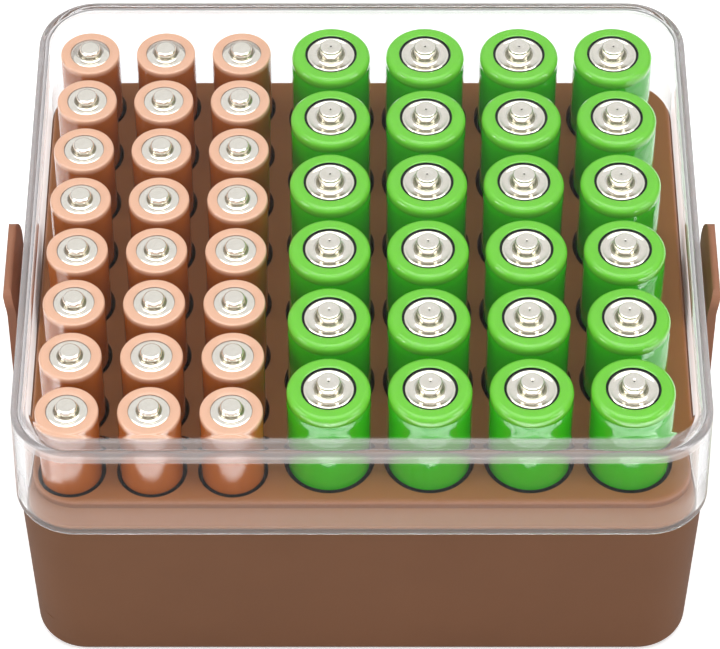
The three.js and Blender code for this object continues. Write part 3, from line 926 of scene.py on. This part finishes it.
# The milky colours and the haze shares below are painted reflection.
painted_reflection_high_colour = (0.90, 0.84, 0.83)
painted_reflection_low_colour = (0.80, 0.74, 0.72)
low_painted_reflection = 0.11
low_painted_reflection_z = (44.2 * MM, 38.5 * MM)
band_painted_reflection = 0.3
band_start_z = (52.6 * MM, 53.0 * MM)
band_end_z = (54.7 * MM, 53.9 * MM)
round_painted_reflection = 0.16
round_start_z = (52.0 * MM, 54.0 * MM)
round_tilt = (0.995, 0.93)
round_top_tilt = (0.98, 0.93)
round_foot_tilt = (0.02, 0.1)
glance_painted_reflection = 0.6
glance_blend = 0.5
glance_share = (0.78, 0.90)
glance_end_z = (54.5 * MM, 53.5 * MM)


def lid_ring(z, inset=0.0):
    """The lid's outline at a height: its walls lean in evenly to where the round edge starts."""
    lean = lid_draft * min(1, (z - lid_rim_z) / (lid_top_z - lid_fillet - lid_rim_z)) + inset
    return rounded_ring(lid_half_x - lean, lean - lid_half_y, lid_half_y - lean, lid_corner - lean, z)


lid_rings = [lid_ring(lid_inner_top_z, lid_wall + lid_inner_fillet + lid_fillet)]
for c, s in arc(90, 0, lid_inner_steps):
    inset = lid_wall + lid_inner_fillet * (1 - c)
    lid_rings.append(lid_ring(lid_inner_top_z - lid_inner_fillet * (1 - s), inset))
for c, s in arc(180, 270, lid_rim_steps):
    lid_rings.append(lid_ring(lid_rim_z + lid_rim_edge * (1 + s), lid_wall - lid_rim_edge * (1 + c)))
for c, s in arc(270, 360, lid_rim_steps):
    lid_rings.append(lid_ring(lid_rim_z + lid_rim_edge * (1 + s), lid_rim_edge * (1 - c)))
for c, s in arc(0, 90, lid_fillet_steps):
    lid_rings.append(lid_ring(lid_top_z - lid_fillet * (1 - s), lid_fillet * (1 - c)))
lid_rings.append(lid_ring(lid_top_z, lid_fillet * 2))
lid = loft("clear_lid", lid_rings)
for side in (-1, 1):
    catch = [
        (side * (lid_half_x - lid_wall / 2), catch_low_z),
        (side * lid_half_x, catch_low_z),
        (side * catch_x, catch_low_z + catch_slope),
        (side * catch_x, catch_high_z - catch_slope),
        (side * lid_half_x, catch_high_z),
        (side * (lid_half_x - lid_wall / 2), catch_high_z),
    ]
    combine(lid, prism("catch", catch, -catch_half_y, catch_half_y, "Y"), "UNION")
smooth(lid, lid_sharp_degrees)


def either(tree, factor, first, second):
    """One shader or another, mixed by a factor socket."""
    mix = node(tree, "ShaderNodeMixShader")
    for value, socket in zip((factor, first, second), mix.inputs):
        tree.links.new(value, socket)
    return mix.outputs["Shader"]


clear, tree, shader = new_material("clear_polystyrene")
shader.inputs["Transmission Weight"].default_value = 1.0
shader.inputs["IOR"].default_value = clear_ior
place = node(tree, "ShaderNodeTexCoord").outputs["Object"]
height = part_of(tree, place, "Z")
patches = pattern(tree, place, Scale=clear_patch_scale, Detail=clear_patch_detail)
uneven_sheen(tree, shader, patches, 0.0, clear_roughness)

# How far the plastic faces upwards, and where it is on the round edge or low on a wall.
facing = node(tree, "ShaderNodeNewGeometry")
facing_z = part_of(tree, facing.outputs["Normal"], "Z")
outward = ramp(tree, facing.outputs["Backfacing"], 0.0, 1.0, 1.0, -1.0, "LINEAR")
outward_up = reckon(tree, "MULTIPLY", facing_z, outward)
facing_up = reckon(tree, "ABSOLUTE", facing_z)
above = ramp(tree, height, *round_start_z)
below = ramp(tree, height, *low_painted_reflection_z)

# The round edge mirrors fully, and a grey is painted on it as shade. The flat top and the walls hardly
# mirror.
mirror = reckon(tree, "MULTIPLY", above, ramp(tree, facing_up, *round_tilt))
gloss_tint = shade_between(tree, clear_gloss, edge_gloss, mirror)
tree.links.new(gloss_tint, shader.inputs["Specular Tint"])
round_start = ramp(tree, outward_up, *round_top_tilt)
round_end = ramp(tree, outward_up, *round_foot_tilt)
round_top = reckon(tree, "MULTIPLY", reckon(tree, "MULTIPLY", round_start, round_end), above)
painted_edge_shade_mix = shade_between(tree, clear_tint, painted_edge_shade_grey, round_top)
tree.links.new(painted_edge_shade_mix, shader.inputs["Base Color"])

# A faint milky haze is painted as reflection low on the walls, under the round edge, on it,
# and where a wall is seen edge on.
band = reckon(tree, "MULTIPLY", ramp(tree, height, *band_start_z), ramp(tree, height, *band_end_z))
painted_reflection_low = reckon(tree, "MULTIPLY", below, low_painted_reflection)
painted_reflection_high = reckon(tree, "MULTIPLY", band, band_painted_reflection)
painted_reflection_round = reckon(tree, "MULTIPLY", round_top, round_painted_reflection)
painted_reflection_sum = reckon(tree, "ADD", reckon(tree, "ADD", painted_reflection_low, painted_reflection_high), painted_reflection_round)
glance = node(tree, "ShaderNodeLayerWeight", Blend=glance_blend)
glancing = ramp(tree, glance.outputs["Facing"], *glance_share)
glance_band = reckon(tree, "MULTIPLY", glancing, ramp(tree, height, *glance_end_z))
painted_reflection_glance = reckon(tree, "MULTIPLY", glance_band, glance_painted_reflection)
painted_reflection_share = reckon(tree, "MAXIMUM", painted_reflection_sum, painted_reflection_glance)

# The painted reflection is a milky plastic. The lamps' light passes the lid straight, down to the pieces
# inside.
painted_reflection_colour = shade_between(tree, painted_reflection_high_colour, painted_reflection_low_colour, below)
painted_reflection_diffuse = node(tree, "ShaderNodeBsdfDiffuse")
tree.links.new(painted_reflection_colour, painted_reflection_diffuse.inputs["Color"])
painted_reflection_translucent = node(tree, "ShaderNodeBsdfTranslucent")
tree.links.new(painted_reflection_colour, painted_reflection_translucent.inputs["Color"])
painted_reflection_surface = either(tree, glance_band, painted_reflection_diffuse.outputs["BSDF"], painted_reflection_translucent.outputs["BSDF"])
surface = either(tree, painted_reflection_share, shader.outputs["BSDF"], painted_reflection_surface)
rays = node(tree, "ShaderNodeLightPath")
open_way = node(tree, "ShaderNodeBsdfTransparent", Color=light_let_through).outputs["BSDF"]
for ray in ("Is Diffuse Ray", "Is Shadow Ray"):
    surface = either(tree, rays.outputs[ray], surface, open_way)
output = tree.nodes["Material Output"]
tree.links.new(surface, output.inputs["Surface"])
smoke = node(tree, "ShaderNodeVolumeAbsorption", Density=clear_smoke_density)
smoke.inputs["Color"].default_value = (*clear_smoke, 1)
tree.links.new(smoke.outputs["Volume"], output.inputs["Volume"])
lid.data.materials.append(clear)
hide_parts("lid")
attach(lid, "lid")

# The studio: a white painted floor without an end that keeps the case's soft shadow, a white room,
# and four soft lamps: one overhead, one on each side and a low strip in front. In painted reflections,
# the lid's outside mirrors the floor darker, and the cells mirror a strip of it that glows brighter, as in
# the photograph.
floor_size = 6.0
floor_drop = 0.05 * MM
floor_roughness = 0.9
floor_white = (0.9, 0.9, 0.9)
floor_white_off_lid = (0.4, 0.4, 0.4)
floor_lift = 0.45
floor_shiny_lift = 4.8
lid_wall_passes = 2.5
near_floor_start = 56.0 * MM
near_floor_end = 150.0 * MM
near_floor_blend = 8.0 * MM
floor = box("floor", (-floor_size, -floor_size, -floor_drop - MM), (floor_size, floor_size, -floor_drop))


def ray_kinds(tree):
    """The ray, whether it sees a thing straight or through the lid, and whether it was mirrored."""
    rays = node(tree, "ShaderNodeLightPath")
    seen = reckon(tree, "MAXIMUM", rays.outputs["Is Camera Ray"], rays.outputs["Is Transmission Ray"])
    mirrored = reckon(tree, "MINIMUM", rays.outputs["Glossy Depth"], 1.0)
    return rays, seen, mirrored


floor_paint, tree, shader = new_material("white_floor")
shader.inputs["Roughness"].default_value = floor_roughness
shader.inputs["Specular IOR Level"].default_value = 0.0
shader.inputs["Emission Color"].default_value = (1, 1, 1, 1)
rays, seen, mirrored = ray_kinds(tree)
seen_lift = reckon(tree, "MULTIPLY", seen, floor_lift)
# Painted reflections: in mirrors the floor is darker off the lid, and a strip near the case glows for the
# cells.
under_lid = reckon(tree, "GREATER_THAN", rays.outputs["Transmission Depth"], lid_wall_passes)
off_lid = reckon(tree, "GREATER_THAN", mirrored, under_lid)
paint = shade_between(tree, floor_white, floor_white_off_lid, off_lid)
tree.links.new(paint, shader.inputs["Base Color"])
from_cells = reckon(tree, "MULTIPLY", mirrored, under_lid)
cell_lift = reckon(tree, "MULTIPLY", from_cells, floor_shiny_lift)
ground_y = part_of(tree, node(tree, "ShaderNodeNewGeometry").outputs["Position"], "Y")
near_start = ramp(tree, ground_y, -near_floor_start, -near_floor_start - near_floor_blend)
near_end = ramp(tree, ground_y, -near_floor_end, near_floor_blend - near_floor_end)
near_strip = reckon(tree, "MULTIPLY", near_start, near_end)
near_lift = reckon(tree, "MULTIPLY", cell_lift, near_strip)
lift = reckon(tree, "MAXIMUM", seen_lift, near_lift)
tree.links.new(lift, shader.inputs["Emission Strength"])
floor.data.materials.append(floor_paint)
floor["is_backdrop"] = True

# The room: white where it is seen straight or through the lid, dim in the light it gives, and
# darker towards the floor where a shiny piece mirrors it.
room_light_level = 0.25
room_low_level = 0.3
ceiling_rise = (0.05, 0.7)
room = bpy.data.worlds.new("white_room")
scene.world = room
room.use_nodes = True
tree = room.node_tree
background = tree.nodes["Background"]
background.inputs["Color"].default_value = (1, 1, 1, 1)
upward = part_of(tree, node(tree, "ShaderNodeTexCoord").outputs["Generated"], "Z")
ceiling = ramp(tree, upward, *ceiling_rise, room_low_level, 1.0)
_, seen, mirrored = ray_kinds(tree)
plain = ramp(tree, seen, 0.0, 1.0, room_light_level, 1.0, "LINEAR")
level = node(tree, "ShaderNodeMix", data_type="FLOAT")
tree.links.new(mirrored, level.inputs["Factor"])
tree.links.new(plain, level.inputs["A"])
tree.links.new(ceiling, level.inputs["B"])
tree.links.new(level.outputs["Result"], background.inputs["Strength"])


def soft_lamp(name, place, aim, width, height, watts):
    """A flat soft lamp that points at a place."""
    data = bpy.data.lights.new(name, "AREA")
    data.shape = "RECTANGLE"
    data.size = width
    data.size_y = height
    data.energy = watts
    lamp = bpy.data.objects.new(name, data)
    lamp.location = place
    lamp.rotation_euler = (Vector(aim) - Vector(place)).to_track_quat("-Z", "Y").to_euler()
    scene.collection.objects.link(lamp)


soft_lamp("top_lamp", place=(0, -0.06, 0.75), aim=(0, -0.03, 0.03), width=0.8, height=0.8, watts=5.3)
soft_lamp("left_lamp", place=(-0.75, -0.25, 0.42), aim=(0, 0, 0.02), width=0.4, height=0.4, watts=2.6)
soft_lamp("right_lamp", place=(0.75, -0.3, 0.45), aim=(0, 0, 0.02), width=0.4, height=0.4, watts=2.6)
soft_lamp("front_strip", place=(0, -1.1, 0.38), aim=(0, 0, 0.045), width=0.9, height=0.1, watts=1.7)

# The picture: plain colours, and enough bounces of light to see through the lid's walls.
light_bounces = 32
scene.view_settings.view_transform = "Standard"
scene.cycles.use_denoising = True
scene.cycles.max_bounces = light_bounces
scene.cycles.transmission_bounces = light_bounces
scene.cycles.glossy_bounces = light_bounces
scene.cycles.caustics_refractive = False
scene.cycles.caustics_reflective = False

low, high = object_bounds()
